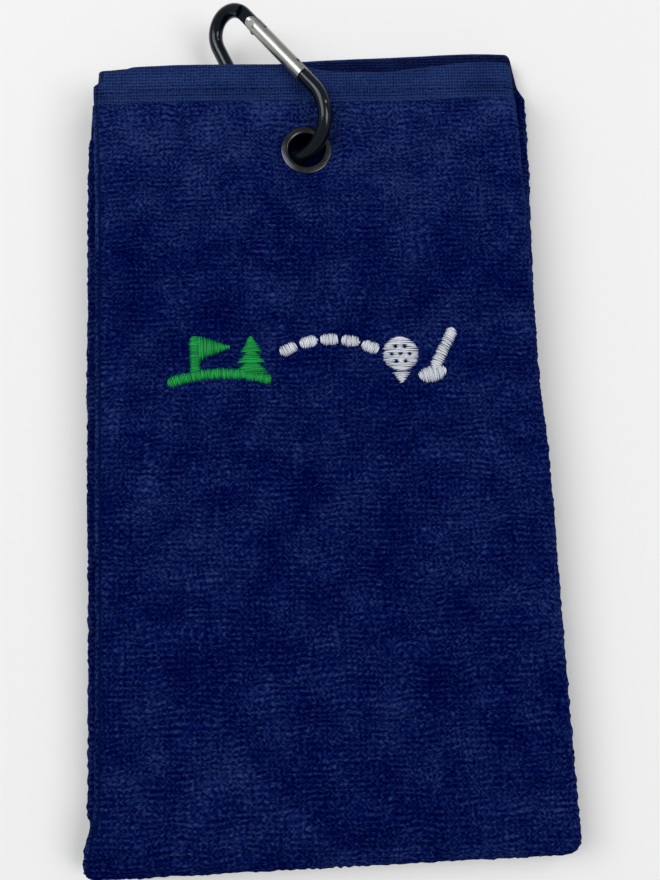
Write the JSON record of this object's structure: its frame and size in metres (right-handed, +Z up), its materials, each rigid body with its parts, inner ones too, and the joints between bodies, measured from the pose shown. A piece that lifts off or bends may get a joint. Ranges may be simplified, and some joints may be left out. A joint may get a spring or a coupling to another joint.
{
  "type": "golf towel",
  "caption": "Tri-fold terry golf towel, folded in half, with a hemmed end, an embroidered emblem, and a carabiner hooked through a metal eyelet.",
  "frame": {"origin": "middle of the folded towel's underside, on the surface it lies on", "axes": "+Z up out of the face with the emblem, +Y towards the hemmed end with the eyelet, +X to the right across the folded width"},
  "size_m": [0.141, 0.2599, 0.0269],
  "materials": {
    "terry": "looped cotton pile, matt, navy",
    "hem_band": "flat woven cotton, matt, navy",
    "navy_thread": "sewing thread, navy",
    "green_thread": "rayon embroidery thread, silky",
    "white_thread": "rayon embroidery thread, silky",
    "gunmetal": "polished black nickel",
    "black_frame": "gloss black anodised",
    "satin_gate": "satin, bare",
    "bright_rivet": "bright",
    "spring_steel": "drawn wire"
  },
  "bodies": {
    "back_half": {"back_centre_third": "terry", "back_left_third": "terry", "back_right_third": "terry", "back_hem": "hem_band", "back_hem_stitches": "navy_thread", "half_fold": "terry"},
    "front_half": {"front_right_third": "terry", "front_left_third": "terry", "front_centre_third": "terry", "front_hem": "hem_band", "front_hem_stitches": "navy_thread", "emblem_green": "green_thread", "emblem_white": "white_thread", "eyelet": "gunmetal", "eyelet_washer": "gunmetal"},
    "carabiner": {"carabiner_frame": "black_frame", "hinge_rivet": "bright_rivet"},
    "carabiner_gate": {"gate": "satin_gate", "gate_spring": "spring_steel"},
    "plunger": {"gate_plunger": "spring_steel"},
    "ring": {"wire_ring": "spring_steel"}
  },
  "joints": [
    {"name": "half_fold_hinge", "type": "hinge", "parent": "back_half", "child": "front_half", "pos_m": [0, -0.1153, 0.0064], "axis": [1, 0, 0], "range_deg": [0, 178], "deforming": ["half_fold"]},
    {"name": "carabiner_swing", "type": "hinge", "parent": "front_half", "child": "carabiner", "pos_m": [-0.00137, 0.09181, 0.01573], "axis": [0, -0.0296, 0.9996], "range_deg": [-45, 8]},
    {"name": "gate_hinge", "type": "hinge", "parent": "carabiner", "child": "carabiner_gate", "pos_m": [-0.01596, 0.13204, 0.02036], "axis": [0.5833, 0.2967, -0.7561], "range_deg": [0, 26], "stiffness_Nm_per_rad": 0.02, "springref_deg": -17.19, "deforming": ["front_hem", "front_hem_stitches"]},
    {"name": "plunger_slide", "type": "slide", "parent": "carabiner_gate", "child": "plunger", "axis": [0.5892, -0.7953, 0.1425], "range_m": [0, 0.0004], "deforming": ["gate_spring"]},
    {"name": "ring_slide", "type": "slide", "parent": "carabiner", "child": "ring", "axis": [-0.4051, 0.9131, 0.0458], "range_m": [-0.003, 0.012]}
  ],
  "couplings": [
    {"joint": "plunger_slide", "follows": "gate_hinge", "m_per_rad": 0.0007}
  ]
}
